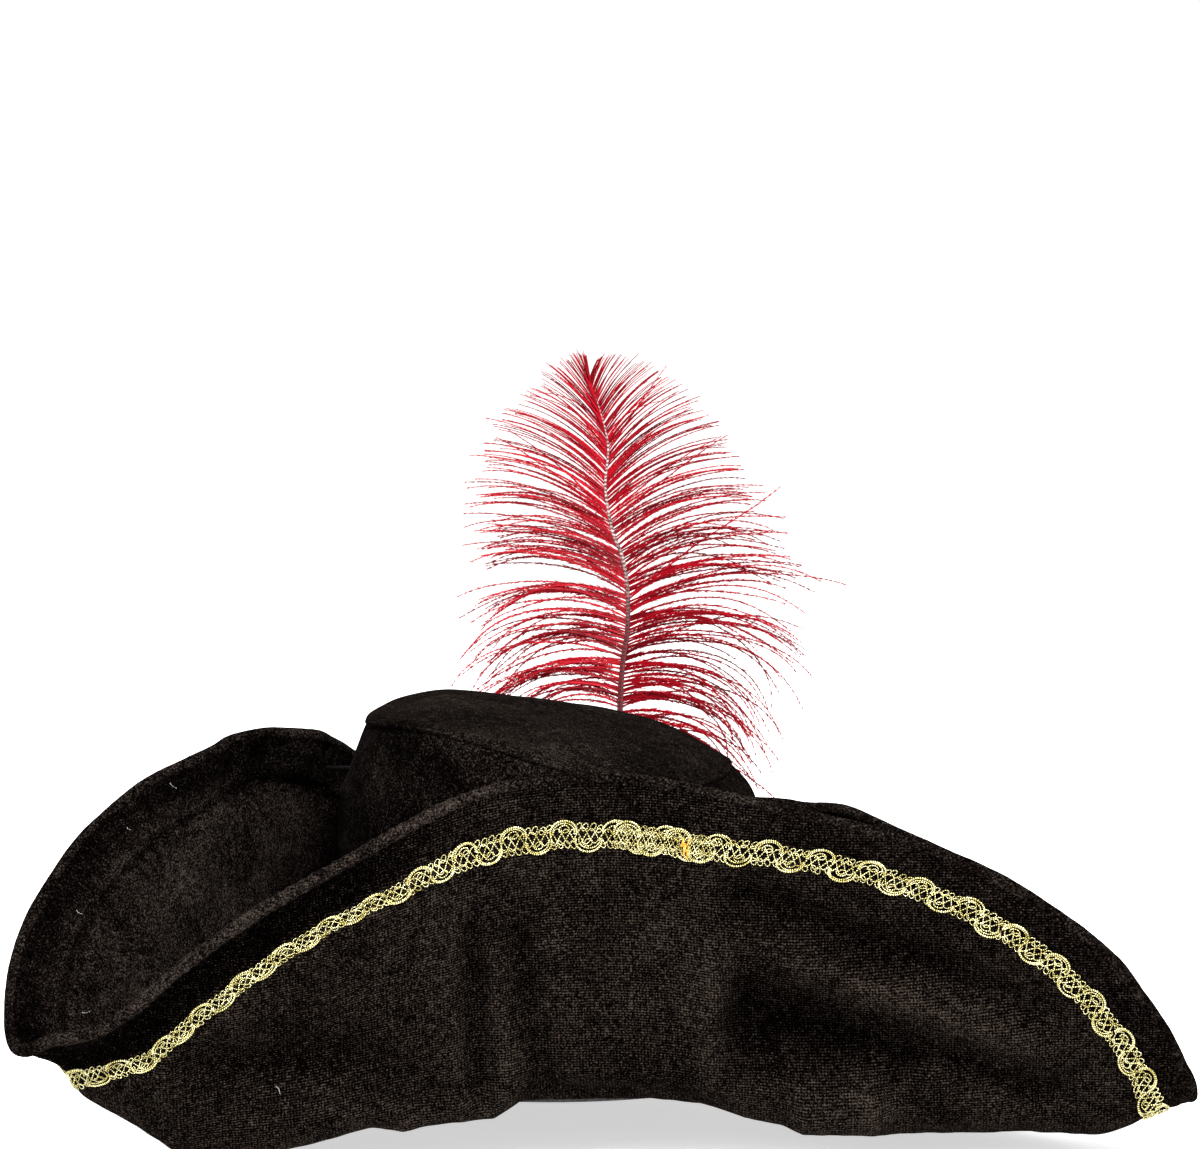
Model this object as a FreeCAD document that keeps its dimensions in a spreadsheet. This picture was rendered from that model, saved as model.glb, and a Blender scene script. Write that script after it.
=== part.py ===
"""Velvet tricorn hat with a turned-up three-flap brim, gold braid and an ostrich plume.

Millimetres. Origin at the centre of the head opening, in the plane of the headline seam.
+X to the wearer's side where the brim reaches furthest, -Y towards the broad front flap, +Z up.
"""
import FreeCAD, Part
import math
import os

from FreeCAD import Placement, Rotation, Vector

PARTS_FOLDER = "parts"

# Driving dimensions: millimetres and degrees.
SIZES = {
    # crown and head opening, measured on the outer velvet at the headline
    "crown_half_width": 85.0,
    "crown_half_depth": 101.0,
    "headline_gap": 0.3,
    # cloth and foam thicknesses
    "velvet_thick": 1.0,
    "crown_foam_thick": 1.0,
    "lining_thick": 0.5,
    "sweatband_thick": 1.2,
    "sweatband_tall": 32.0,
    "seam_tape_thick": 1.2,
    "seam_tape_wide": 3.6,
    "crown_seam_proud": 0.8,
    "brim_foam_thick": 2.0,
    "edge_roll_radius": 2.0,
    # each flap turns up along a straight fold: facing direction, distance of the fold from the
    # centre, radius of the fold, and how steeply the flap stands (middle, slope and bow over 200 mm)
    "front_facing": 272.0,
    "front_fold_out": 102.5,
    "front_fold_radius": 18.0,
    "front_lean_middle": 88.5,
    "front_lean_slope": 8.5,
    "front_lean_bow": -26.5,
    "left_facing": 165.0,
    "left_fold_out": 88.5,
    "left_fold_radius": 15.0,
    "left_lean_middle": 97.5,
    "left_lean_slope": -44.5,
    "left_lean_bow": -35.5,
    "right_facing": 37.0,
    "right_fold_out": 94.5,
    "right_fold_radius": 15.0,
    "right_lean_middle": 100.0,
    "right_lean_slope": 12.0,
    "right_lean_bow": -44.0,
    "least_lean": 15.0,
    "most_lean": 115.0,
    # the three corners droop below the headline before they rise
    "droop_depth": 16.0,
    "droop_sideways": 4.0,
    "droop_reach": 36.0,
    # gold braid and its stitching
    "braid_wide": 14.0,
    "braid_thick": 1.2,
    "braid_inset": 20.0,
    "braid_gap": 0.4,
    "lap_start": 272.0,
    "lap_end": 287.0,
    "lap_thick": 0.9,
    "stitch_wide": 0.8,
    "stitch_thick": 0.3,
    "end_tack_long": 6.0,
    "end_tack_turn": 0.7,
    # thread bars between the side flaps and the crown
    "tack_radius": 0.8,
    "tack_inset": 12.0,
    "tack_reach": 30.0,
    # plume
    "plume_back": 99.0,
    "quill_radius": 1.6,
    "quill_tip_radius": 0.5,
    "quill_foot": 46.0,
    "pivot_up": 64.0,
    "vane_thick": 3.0,
    "vane_gap": 0.6,
    "loop_wide": 11.0,
    "loop_tall": 3.0,
    "loop_long": 22.0,
    "loop_end": 2.2,
    "loop_hole_radius": 2.6,
    "binding_radius": 2.5,
    "binding_tall": 7.0,
    "binding_up": 5.0,
    # blank care label inside the sweatband
    "label_wide": 24.0,
    "label_tall": 22.0,
    "label_thick": 0.4,
    "label_up": 4.0,
    "label_clear": 2.9,
}

# Flat radius of the brim round the compass: a mean, then the cosine and sine of 1 to 5 waves.
RIM_MEAN = 229.5
RIM_WAVES = [(0.0, -16.0), (-4.5, -11.5), (1.0, -16.0), (3.5, 4.5), (-7.0, 0.5)]

# Crown sections from the headline up: height, half width and half depth as shares of the
# headline oval, sideways shift, and tilt about Y in degrees.
CROWN_LEVELS = [
    (0.0, 1.0, 1.0, 0.0, 0.0),
    (40.0, 0.959, 0.965, 0.0, 1.5),
    (76.0, 0.93, 0.93, 0.0, 5.0),
    (103.0, 0.9, 0.9, 0.0, 7.0),
    (120.5, 0.8, 0.822, -1.5, 8.0),
    (128.0, 0.65, 0.68, -4.0, 7.0),
    (131.5, 0.4, 0.42, -7.0, 6.0),
    (132.0, 0.12, 0.125, -9.0, 5.5),
]
SEAM_LEVEL = 4

ROUND_STEPS = 96
BRIM_STEPS = 28
FLAPS = ("front", "left", "right")

# The plume's shaft, in the plane of the plume: sideways place and height.
SHAFT = [
    (24.0, 46.0), (24.0, 64.0), (25.0, 113.0), (26.0, 134.0), (28.0, 149.0), (28.0, 165.0),
    (26.0, 177.0), (22.0, 188.0), (19.5, 204.0), (20.5, 220.0), (17.0, 235.0), (10.0, 252.0),
]
# Outer ends of the barbs on each side, from the lowest to the tip.
LEFT_BARB_ENDS = [(-22.0, 128.0), (-35.0, 150.0), (-34.0, 176.0), (-30.0, 206.0), (-16.0, 234.0)]
RIGHT_BARB_ENDS = [(74.0, 108.0), (88.0, 126.0), (93.0, 152.0), (82.0, 190.0), (52.0, 228.0)]
VANE_FOOT = (25.0, 118.0)

doc = FreeCAD.newDocument("Tricorn")
sheet = doc.addObject("Spreadsheet::Sheet", "Sizes")
for row, (alias, value) in enumerate(SIZES.items(), start=1):
    sheet.set(f"A{row}", alias)
    sheet.set(f"B{row}", str(value))
    sheet.setAlias(f"B{row}", alias)
doc.recompute()

nodes = []
cells = {alias: float(sheet.get(alias)) for alias in SIZES}


def size(alias):
    """The value of one cell of the sheet."""
    return cells[alias]


def keep(item, label):
    """Names a finished sub-part; its label becomes its file name."""
    item.Label = label
    nodes.append(item)
    return item


def from_shape(label, shape):
    """A sub-part whose shape is computed below, from the sheet's sizes."""
    item = doc.addObject("Part::Feature", label.title().replace("_", ""))
    item.Shape = shape
    item.Placement = Placement()
    return keep(item, label)


# ---------------------------------------------------------------- the brim's surface


def rim_radius(angle):
    """Distance from the centre to the edge of the brim while it was still flat."""
    waves = enumerate(RIM_WAVES, start=1)
    return RIM_MEAN + sum(c * math.cos(k * angle) + s * math.sin(k * angle) for k, (c, s) in waves)


def oval_radius(angle, half_width, half_depth):
    """Radius of an oval about the origin in one direction."""
    across = half_depth * math.cos(angle)
    along = half_width * math.sin(angle)
    return half_width * half_depth / math.hypot(across, along)


def headline_radius(angle):
    """Inner edge of the brim, just outside the crown."""
    gap = size("headline_gap")
    return oval_radius(angle, size("crown_half_width") + gap, size("crown_half_depth") + gap)


def turned_up(travel, radius, lean):
    """Where cloth that lay travel past a fold line ends up: distance out, and height."""
    bent = min(travel, radius * lean)
    straight = travel - bent
    out = radius * math.sin(bent / radius) + straight * math.cos(lean)
    up = radius * (1 - math.cos(bent / radius)) + straight * math.sin(lean)
    return out, up


class Flap:
    """One turned-up side of the brim."""

    def __init__(self, side):
        facing = math.radians(size(f"{side}_facing"))
        self.normal = Vector(math.cos(facing), math.sin(facing), 0)
        self.along = Vector(-math.sin(facing), math.cos(facing), 0)
        self.fold_out = size(f"{side}_fold_out")
        self.radius = size(f"{side}_fold_radius")
        self.lean = [size(f"{side}_lean_{part}") for part in ("middle", "slope", "bow")]
        self.limits = size("least_lean"), size("most_lean")

    def shift(self, flat):
        """How far the fold moves a point of the flat brim."""
        travel = flat.dot(self.normal) - self.fold_out
        if travel <= 0:
            return Vector()
        share = flat.dot(self.along) / 200.0
        middle, slope, bow = self.lean
        lean = middle + slope * share + bow * share * share
        lean = math.radians(min(max(lean, self.limits[0]), self.limits[1]))
        out, up = turned_up(travel, self.radius, lean)
        return self.normal * (out - travel) + Vector(0, 0, up)


flaps = [Flap(side) for side in FLAPS]


def droop(place):
    """How far the unfolded brim hangs below the headline at a place seen from above."""
    angle = math.atan2(place.y, place.x)
    beyond = max(math.hypot(place.x, place.y) - headline_radius(angle), 0.0)
    depth = size("droop_depth") - size("droop_sideways") * math.cos(angle)
    return depth * (1 - math.exp(-((beyond / size("droop_reach")) ** 2)))


def brim_face(angle, radius):
    """A point of the brim's lower cover, which becomes the outside of the flaps."""
    flat = Vector(radius * math.cos(angle), radius * math.sin(angle), 0)
    place = flat + sum((flap.shift(flat) for flap in flaps), Vector())
    place.z -= droop(place)
    return place


def brim_frame(angle, radius):
    """A point of the lower cover with the direction to the rim and the direction inwards."""
    step = 0.4
    turn = step / radius
    outward = brim_face(angle, radius + step) - brim_face(angle, radius - step)
    sideways = brim_face(angle + turn, radius) - brim_face(angle - turn, radius)
    inward = outward.cross(sideways)
    return brim_face(angle, radius), outward.normalize(), inward.normalize()


def brim_point(angle, radius, depth):
    """A point a given depth inwards from the lower cover, square to it."""
    place, _, inward = brim_frame(angle, radius)
    return place + inward * depth


def round_angles():
    """Evenly spaced directions round the whole brim."""
    return [2 * math.pi * step / ROUND_STEPS for step in range(ROUND_STEPS)]


# ---------------------------------------------------------------- solids from point grids


def spline_surface(rows, closed_rows, degree_across=3, closed_across=False):
    """A smooth surface on a grid of poles; rows run one way, their points the other."""

    def knots(count, degree, closed):
        if closed:
            return list(range(count + 1)), [1] * (count + 1)
        inner = count - degree - 1
        return list(range(inner + 2)), [degree + 1] + [1] * inner + [degree + 1]

    along_knots, along_mults = knots(len(rows), 3, closed_rows)
    across_knots, across_mults = knots(len(rows[0]), degree_across, closed_across)
    surface = Part.BSplineSurface()
    surface.buildFromPolesMultsKnots(
        rows, along_mults, across_mults, along_knots, across_knots,
        closed_rows, closed_across, 3, degree_across,
    )
    return surface.toShape()


def solid_of(faces):
    """One closed solid, turned the right way out, from faces that share their edges."""
    shell = Part.Compound(faces).copy()
    shell.sewShape()
    shell = Part.Shell(shell.Faces)
    solid = Part.Solid(shell)
    if solid.Volume < 0:
        solid.reverse()
    return solid


def ring_solid(inner_radius, outer_radius, low, high, steps):
    """A band of the brim that runs all the way round, between two depths."""

    def grid(depth):
        rows = []
        for angle in round_angles():
            near, far = inner_radius(angle), outer_radius(angle)
            spaced = [near + (far - near) * step / (steps - 1) for step in range(steps)]
            rows.append([brim_point(angle, radius, depth) for radius in spaced])
        return rows

    bottom, top = grid(low), grid(high)
    walls = []
    for column in (0, -1):
        pairs = [[lower[column], upper[column]] for lower, upper in zip(bottom, top)]
        walls.append(spline_surface(pairs, True, degree_across=1))
    return solid_of([spline_surface(bottom, True), spline_surface(top, True)] + walls)


def patch_solid(start, end, inner_radius, outer_radius, low, high, steps):
    """A piece of the brim between two directions and two depths."""

    def grid(depth):
        rows = []
        for step in range(2 * steps):
            angle = start + (end - start) * step / (2 * steps - 1)
            near, far = inner_radius(angle), outer_radius(angle)
            spaced = [near + (far - near) * item / (steps - 1) for item in range(steps)]
            rows.append([brim_point(angle, radius, depth) for radius in spaced])
        return rows

    bottom, top = grid(low), grid(high)
    faces = [spline_surface(bottom, False), spline_surface(top, False)]
    for column in (0, -1):
        pairs = [[lower[column], upper[column]] for lower, upper in zip(bottom, top)]
        faces.append(spline_surface(pairs, False, degree_across=1))
    for row in (0, -1):
        pairs = [[lower, upper] for lower, upper in zip(bottom[row], top[row])]
        faces.append(spline_surface(pairs, False, degree_across=1))
    return solid_of(faces)


def hoop_solid(centres, frames, radius):
    """A closed tube along a loop; each frame gives the two directions of its cross-section."""
    rows = []
    for centre, (first, second) in zip(centres, frames):
        turns = [math.pi * step / 4 for step in range(8)]
        rows.append([centre + (first * math.cos(a) + second * math.sin(a)) * radius for a in turns])
    face = spline_surface(rows, True, closed_across=True)
    return solid_of([face])


def tapered_tube(points, radii):
    """A round shaft through a run of points, with flat level ends."""
    rows = []
    for place, radius in zip(points, radii):
        turns = [math.pi * step / 4 for step in range(8)]
        rows.append([place + Vector(math.cos(a), math.sin(a), 0) * radius for a in turns])
    face = spline_surface(rows, False, closed_across=True)
    ends = [edge for edge in face.Edges if edge.isClosed()]
    return solid_of([face] + [Part.Face(Part.Wire([edge])) for edge in ends])


# ---------------------------------------------------------------- crown


def crown_ring(level, inset):
    """One section of the crown, moved inwards by an inset, as points round an oval."""
    height, wide, deep, shift, tilt = CROWN_LEVELS[level]
    half_width = size("crown_half_width") * wide - inset
    half_depth = size("crown_half_depth") * deep - inset
    lowered = inset * min(max((level - SEAM_LEVEL + 1) / 2, 0), 1)
    turn = Rotation(Vector(0, 1, 0), tilt)
    centre = Vector(shift, 0, height - lowered)
    ovals = (Vector(half_width * math.cos(a), half_depth * math.sin(a), 0) for a in round_angles())
    return [centre + turn.multVec(local) for local in ovals]


def crown_face(levels, inset):
    """The smooth face through a run of sections."""
    rings = [crown_ring(level, inset) for level in levels]
    return spline_surface([list(column) for column in zip(*rings)], True)


def crown_wall(level, inset, thick):
    """The narrow face between two nested sections at one level."""
    pairs = zip(crown_ring(level, inset), crown_ring(level, inset + thick))
    return spline_surface([list(pair) for pair in pairs], True, degree_across=1)


def crown_lid(face):
    """The flat face that closes the small oval at the top of a face."""
    top_edge = max(face.Edges, key=lambda edge: edge.CenterOfMass.z if edge.isClosed() else 0)
    return Part.Face(Part.Wire([top_edge]))


SIDE_LEVELS = range(SEAM_LEVEL + 1)
TIP_LEVELS = range(SEAM_LEVEL, len(CROWN_LEVELS))


def crown_layer(inset, thick):
    """A whole cup of one material: side and tip in one piece, open at the head."""
    faces = []
    for depth in (inset, inset + thick):
        tip = crown_face(TIP_LEVELS, depth)
        faces += [crown_face(SIDE_LEVELS, depth), tip, crown_lid(tip)]
    return solid_of(faces + [crown_wall(0, inset, thick)])


def build_crown():
    """Velvet side and tip, foam, lining and sweatband, each nested inside the last."""
    velvet = size("velvet_thick")
    side = [crown_face(SIDE_LEVELS, 0), crown_face(SIDE_LEVELS, velvet)]
    side += [crown_wall(0, 0, velvet), crown_wall(SEAM_LEVEL, 0, velvet)]
    from_shape("crown_side", solid_of(side))
    tips = [crown_face(TIP_LEVELS, 0), crown_face(TIP_LEVELS, velvet)]
    tip = tips + [crown_lid(face) for face in tips] + [crown_wall(SEAM_LEVEL, 0, velvet)]
    from_shape("crown_tip", solid_of(tip))
    inset = velvet
    for label, alias in (("crown_stiffener", "crown_foam_thick"), ("crown_lining", "lining_thick")):
        from_shape(label, crown_layer(inset, size(alias)))
        inset += size(alias)
    build_sweatband(inset)

    outside = [crown_face(SIDE_LEVELS, 0), crown_face(TIP_LEVELS, 0)]
    base = Part.Face(Part.Wire([min(outside[0].Edges, key=lambda edge: edge.CenterOfMass.z)]))
    block = doc.addObject("Part::Feature", "CrownBlock")
    block.Shape = solid_of(outside + [crown_lid(outside[1]), base])
    return block


def build_sweatband(inset):
    """A band that leans in with the crown's side, on the inside of the lining."""
    thick, tall = size("sweatband_thick"), size("sweatband_tall")
    # the side narrows in proportion between the first two sections
    share = tall / CROWN_LEVELS[1][0]
    grids = []
    for depth in (inset + size("headline_gap"), inset + size("headline_gap") + thick):
        foot, above = crown_ring(0, depth), crown_ring(1, depth)
        grids.append([[low, low + (high - low) * share] for low, high in zip(foot, above)])
    faces = [spline_surface(grid, True, degree_across=1) for grid in grids]
    for column in (0, 1):
        pairs = [[outer[column], inner[column]] for outer, inner in zip(*grids)]
        faces.append(spline_surface(pairs, True, degree_across=1))
    from_shape("sweatband", solid_of(faces))


def boolean(kind, name, base, tool):
    """A cut or common of two objects."""
    item = doc.addObject(f"Part::{kind}", name)
    item.Base = base
    item.Tool = tool
    return item


def build_crown_seam():
    """The corded seam between the crown's side and its tip."""
    height, wide, deep, shift, tilt = CROWN_LEVELS[SEAM_LEVEL]
    proud = size("crown_seam_proud")
    turn = Rotation(Vector(0, 1, 0), tilt)
    centres, frames = [], []
    for angle in round_angles():
        outward = Vector(math.cos(angle), math.sin(angle), 0)
        half_width = size("crown_half_width") * wide + proud
        half_depth = size("crown_half_depth") * deep + proud
        local = Vector(half_width * outward.x, half_depth * outward.y, proud)
        centres.append(Vector(shift, 0, height) + turn.multVec(local))
        frames.append((turn.multVec(outward), turn.multVec(Vector(0, 0, 1))))
    from_shape("crown_seam", hoop_solid(centres, frames, size("tack_radius")))


def build_seam_tape():
    """The tape under the headline that covers the sewn edges of crown and sweatband."""
    rings = []
    for name, inset in (("TapeOutside", "0"), ("TapeInside", "Sizes.seam_tape_wide")):
        ring = doc.addObject("Part::Ellipse", name)
        ring.setExpression("MajorRadius", f"Sizes.crown_half_depth - {inset}")
        ring.setExpression("MinorRadius", f"Sizes.crown_half_width - {inset}")
        turn = Rotation(Vector(0, 0, 1), 90)
        ring.Placement = Placement(Vector(0, 0, -size("seam_tape_thick")), turn)
        block = doc.addObject("Part::Extrusion", f"{name}Block")
        block.Base = ring
        block.DirMode = "Custom"
        block.Dir = Vector(0, 0, 1)
        block.setExpression("LengthFwd", "Sizes.seam_tape_thick")
        block.Solid = True
        rings.append(block)
    keep(boolean("Cut", "SeamTape", rings[0], rings[1]), "headline_tape")


def build_care_label():
    """A blank label against the inside of the sweatband, at the back."""
    label = doc.addObject("Part::Box", "CareLabel")
    label.setExpression("Length", "Sizes.label_wide")
    label.setExpression("Width", "Sizes.label_thick")
    label.setExpression("Height", "Sizes.label_tall")
    layers = ("velvet_thick", "crown_foam_thick", "lining_thick", "sweatband_thick", "headline_gap")
    wall = size("crown_half_depth") - sum(size(alias) for alias in layers)
    # the wall leans in by the drop between the first two crown sections
    height, _, deep, _, _ = CROWN_LEVELS[1]
    lean = math.degrees(math.atan2(size("crown_half_depth") * (1 - deep), height))
    base = Vector(-size("label_wide") / 2, wall - size("label_clear"), size("label_up"))
    label.Placement = Placement(base, Rotation(Vector(1, 0, 0), lean))
    keep(label, "care_label")


# ---------------------------------------------------------------- brim


def rim_inset(distance):
    """The line a given distance in from the edge of the brim."""
    return lambda angle: rim_radius(angle) - distance


def build_brim():
    """Lower cover, foam and upper cover, with the folded edge that wraps their rims."""
    roll = size("edge_roll_radius")
    layers = (
        ("brim_under_cover", "velvet_thick"),
        ("brim_stiffener", "brim_foam_thick"),
        ("brim_top_cover", "velvet_thick"),
    )
    low = 0.0
    for label, alias in layers:
        high = low + size(alias)
        from_shape(label, ring_solid(headline_radius, rim_inset(2.1 * roll), low, high, BRIM_STEPS))
        low = high
    centres, frames = [], []
    for angle in round_angles():
        place, outward, inward = brim_frame(angle, rim_radius(angle) - roll)
        centres.append(place + inward * (low / 2))
        frames.append((outward, inward))
    from_shape("brim_edge_roll", hoop_solid(centres, frames, roll))


def build_braid():
    """Gold braid outside the flaps, its lapped end, and the sewing that shows inside."""
    half = size("braid_wide") / 2
    inset = size("braid_inset")
    gap = size("braid_gap")
    near, far = rim_inset(inset + half), rim_inset(inset - half)
    under = -gap - size("braid_thick")
    from_shape("gold_braid", ring_solid(near, far, under, -gap, 5))
    lap_low = under - gap - size("lap_thick")
    start, end = math.radians(size("lap_start")), math.radians(size("lap_end"))
    from_shape("braid_lap", patch_solid(start, end, near, far, lap_low, under - gap, 5))

    inside = size("velvet_thick") * 2 + size("brim_foam_thick") + gap
    half_stitch = size("stitch_wide") / 2
    stitch_near, stitch_far = rim_inset(inset + half_stitch), rim_inset(inset - half_stitch)
    top = inside + size("stitch_thick")
    from_shape("braid_stitching", ring_solid(stitch_near, stitch_far, inside, top, 4))

    tack_turn = math.radians(size("end_tack_turn"))
    half_tack = size("end_tack_long") / 2
    tack_near, tack_far = rim_inset(inset + half_tack), rim_inset(inset - half_tack)
    tack_low = lap_low - gap - size("lap_thick")
    tack = patch_solid(end - tack_turn, end, tack_near, tack_far, tack_low, lap_low - gap, 4)
    from_shape("braid_end_tack", tack)


def build_flap_tacks(crown_shape):
    """Thread bars that hold the side flaps against the crown, one each."""
    inside = size("velvet_thick") * 2 + size("brim_foam_thick") + size("braid_gap")
    for side in ("left", "right"):
        angle = math.radians(size(f"{side}_facing"))
        start = brim_point(angle, rim_radius(angle) - size("tack_inset"), inside)
        bar = doc.addObject("Part::Cylinder", f"{side.title()}TackBar")
        bar.setExpression("Radius", "Sizes.tack_radius")
        bar.setExpression("Height", "Sizes.tack_reach")
        towards = Vector(-start.x, -start.y, 0)
        bar.Placement = Placement(start, Rotation(Vector(0, 0, 1), towards))
        keep(boolean("Cut", f"{side.title()}Tack", bar, crown_shape), f"flap_tack_{side}")


# ---------------------------------------------------------------- plume


def in_plume(point):
    """A place in the plane of the plume."""
    return Vector(point[0], size("plume_back"), point[1])


def build_quill():
    """The bare shaft, tapering from its foot behind the crown to the tip."""
    first, last = size("quill_radius"), size("quill_tip_radius")
    foot, top = SHAFT[0][1], SHAFT[-1][1]
    radii = [first + (last - first) * (up - foot) / (top - foot) for _, up in SHAFT]
    from_shape("plume_quill", tapered_tube([in_plume(point) for point in SHAFT], radii))


def build_vane(label, barb_ends, side):
    """The body of barbs on one side of the shaft, as a flat soft solid."""
    clear = side * (size("quill_radius") + size("vane_gap"))
    inner = [in_plume((x + clear, z)) for x, z in SHAFT if z > VANE_FOOT[1]]
    inner.insert(0, in_plume((VANE_FOOT[0] + clear, VANE_FOOT[1])))
    ends = [in_plume(point) for point in barb_ends]
    outline = [Part.makePolygon([inner[0], ends[0]]).Edges[0]]
    curve = Part.BSplineCurve()
    curve.interpolate(ends + [inner[-1]])
    outline.append(curve.toShape())
    shaft_side = Part.BSplineCurve()
    shaft_side.interpolate(list(reversed(inner)))
    outline.append(shaft_side.toShape())
    face = Part.Face(Part.Wire(outline))
    thick = size("vane_thick")
    face.translate(Vector(0, -thick / 2, 0))
    from_shape(label, face.extrude(Vector(0, thick, 0)))


def build_plume_fixing(crown_shape):
    """A felt loop on the crown that the quill stands in, and thread bound round the quill."""
    foot_x = SHAFT[0][0]
    block = doc.addObject("Part::Box", "LoopBlock")
    block.setExpression("Length", "Sizes.loop_wide")
    block.setExpression("Width", "Sizes.loop_long")
    block.setExpression("Height", "Sizes.loop_tall")
    base_y = size("plume_back") + size("loop_hole_radius") + size("loop_end") - size("loop_long")
    base = Vector(foot_x - size("loop_wide") / 2, base_y, size("pivot_up") - size("loop_tall") / 2)
    block.Placement = Placement(base, Rotation())
    hole = doc.addObject("Part::Cylinder", "LoopHole")
    hole.setExpression("Radius", "Sizes.loop_hole_radius")
    hole.setExpression("Height", "Sizes.loop_tall * 3")
    hole.Placement = Placement(in_plume((foot_x, base.z - size("loop_tall"))), Rotation())
    drilled = boolean("Cut", "DrilledLoop", block, hole)
    keep(boolean("Cut", "QuillLoop", drilled, crown_shape), "quill_loop")

    wrap = doc.addObject("Part::Cylinder", "BindingWrap")
    wrap.setExpression("Radius", "Sizes.binding_radius")
    wrap.setExpression("Height", "Sizes.binding_tall")
    wrap.Placement = Placement(in_plume((foot_x, size("quill_foot") + size("binding_up"))), Rotation())
    quill = next(item for item in nodes if item.Label == "plume_quill")
    keep(boolean("Cut", "QuillBinding", wrap, quill), "quill_binding")


crown_shape = build_crown()
build_crown_seam()
build_seam_tape()
build_care_label()
build_brim()
build_braid()
build_flap_tacks(crown_shape)
build_quill()
build_vane("plume_vane_left", LEFT_BARB_ENDS, -1)
build_vane("plume_vane_right", RIGHT_BARB_ENDS, 1)
build_plume_fixing(crown_shape)

doc.recompute()
for item in doc.Objects:
    if "Invalid" in item.State or "Error" in item.State:
        raise RuntimeError(f"{item.Label} did not build: {item.State}")
for item in nodes:
    if item.Shape.isNull() or not item.Shape.isValid():
        raise RuntimeError(f"{item.Label} has no valid shape")
    if item.Shape.Volume <= 0 or not item.Shape.Solids:
        raise RuntimeError(f"{item.Label} is not a solid")

os.makedirs(PARTS_FOLDER, exist_ok=True)
for item in nodes:
    item.Shape.exportStep(os.path.join(PARTS_FOLDER, f"{item.Label}.step"))
    box = item.Shape.BoundBox
    print(f"{item.Label:18s} {item.Shape.Volume / 1000:9.3f} cm3  z {box.ZMin:7.1f} to {box.ZMax:7.1f}")
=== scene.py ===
"""The looks of a velvet tricorn hat with gold braid and an ostrich plume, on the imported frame."""
import math

import bpy
import numpy as np
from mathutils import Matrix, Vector


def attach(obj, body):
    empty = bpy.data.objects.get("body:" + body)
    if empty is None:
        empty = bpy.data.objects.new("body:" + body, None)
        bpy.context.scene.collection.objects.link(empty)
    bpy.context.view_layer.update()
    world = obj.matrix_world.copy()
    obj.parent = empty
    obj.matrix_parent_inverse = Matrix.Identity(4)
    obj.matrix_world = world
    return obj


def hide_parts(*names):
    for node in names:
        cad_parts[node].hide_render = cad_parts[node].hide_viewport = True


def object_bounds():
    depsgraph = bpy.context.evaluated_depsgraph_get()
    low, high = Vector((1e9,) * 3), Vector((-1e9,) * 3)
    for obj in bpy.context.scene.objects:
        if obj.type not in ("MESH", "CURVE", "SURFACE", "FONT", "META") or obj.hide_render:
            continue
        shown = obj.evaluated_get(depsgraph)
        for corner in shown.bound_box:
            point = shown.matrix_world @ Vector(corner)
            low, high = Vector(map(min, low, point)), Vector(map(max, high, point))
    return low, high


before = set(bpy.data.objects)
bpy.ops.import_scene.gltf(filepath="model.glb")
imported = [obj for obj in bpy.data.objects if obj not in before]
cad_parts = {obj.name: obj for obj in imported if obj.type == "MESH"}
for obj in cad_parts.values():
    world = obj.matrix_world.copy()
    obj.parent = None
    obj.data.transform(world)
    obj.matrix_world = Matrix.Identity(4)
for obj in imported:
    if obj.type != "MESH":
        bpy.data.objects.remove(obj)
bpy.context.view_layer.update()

# All shapes below are worked out in millimetres and stored in metres.
MM = 0.001
HAT, PLUME = "hat", "plume"
rng = np.random.default_rng(7)

# ------------------------ sizes, as the frame was designed, and how the cloth strays from them
CROWN_HALF_WIDTH = 85.0
CROWN_HALF_DEPTH = 101.0
HEADLINE_GAP = 0.3
SEAM_TUCK = 0.6
VELVET_THICK = 1.0
FOAM_THICK = 2.0
EDGE_ROLL = 2.0
EDGE_RADIUS = 2.35
EDGE_SIDES = 14
BRAID_INSET = 20.0
PLUME_BACK = 99.0
RIM_MEAN = 229.5
RIM_WAVES = [(0.0, -16.0), (-4.5, -11.5), (1.0, -16.0), (3.5, 4.5), (-7.0, 0.5)]
DROOP_DEPTH, DROOP_SIDEWAYS, DROOP_REACH = 16.0, 4.0, 36.0
DRAPE_HEIGHT, DRAPE_PITCH, HEADLINE_FADE = 0.55, 46.0, 12.0

# Tables by direction: the first and last degree of a range, its fade in degrees, and an amount.
# Where the cloth steps back along the braid, and how that step is shaped, in millimetres.
SHELF_RANGE = [(219, 252, 12, 1)]
SHELF_STEP, SHELF_HALF_WIDTH, SHELF_BULGE_REACH = 5.0, 3.6, 34.0
# Where the edge hangs lower or stands higher than the plain folds put it, in millimetres.
EDGE_LIFTS = [
    (230, 250, 15, -4), (176, 183, 7, 3.5), (30, 44, 8, -5),
    (196, 214, 7, -4), (338, 346, 6, -4),
]
EDGE_LIFT_REACH = 60.0
# Where the edge fold is gathered by its stitches, and where its pile catches the light.
EDGE_GATHERS = [(236, 282, 10, 0.88)]
EDGE_LIT = [(222, 262, 8, 0.035)]
# Where the braid is drawn in (a share of its width), and where it strays towards the edge (mm).
BRAID_NARROWED = [(296, 326, 8, 0.12)]
BRAID_DRIFTS = [(298, 330, 12, 3.2), (258, 282, 8, -2.2)]

# facing, fold distance, fold radius, lean in degrees: middle, slope and bow over the span
FLAP_SPAN = 200.0
FLAPS = {
    "front": (272.0, 102.5, 18.0, (88.5, 8.5, -26.5)),
    "left": (165.0, 88.5, 15.0, (97.5, -44.5, -35.5)),
    "right": (37.0, 94.5, 15.0, (100.0, 12.0, -44.0)),
}
LEAST_LEAN, MOST_LEAN = 15.0, 115.0

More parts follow.
